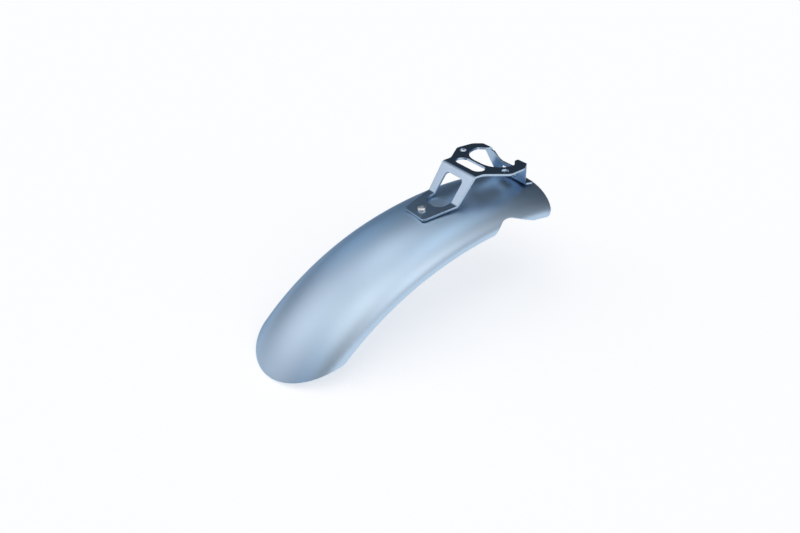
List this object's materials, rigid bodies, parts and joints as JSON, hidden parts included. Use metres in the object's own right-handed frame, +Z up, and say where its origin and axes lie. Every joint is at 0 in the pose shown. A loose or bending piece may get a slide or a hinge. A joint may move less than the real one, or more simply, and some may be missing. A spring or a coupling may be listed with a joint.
{
  "type": "motorcycle mudguard",
  "caption": "High front mudguard for a motorcycle: a long crowned metal blade with a rounded nose and fork-leg cut-outs, hung under the fork yoke by a folded sheet bracket.",
  "frame": {"origin": "midway between the two yoke bolt holes, on the upper face of the bracket's top plate", "axes": "+X forward towards the rounded nose, +Y to the rider's left, +Z up, square to the top plate"},
  "size_m": [0.3787, 0.131, 0.1634],
  "materials": {
    "sheet": "satin",
    "fasteners": "satin"
  },
  "bodies": {
    "root": {"mudguard_blade": "sheet", "mounting_bracket": "sheet", "front_screw": "fasteners", "rear_screw": "fasteners", "front_washer": "fasteners", "rear_washer": "fasteners", "front_nut": "fasteners", "rear_nut": "fasteners"}
  },
  "joints": []
}
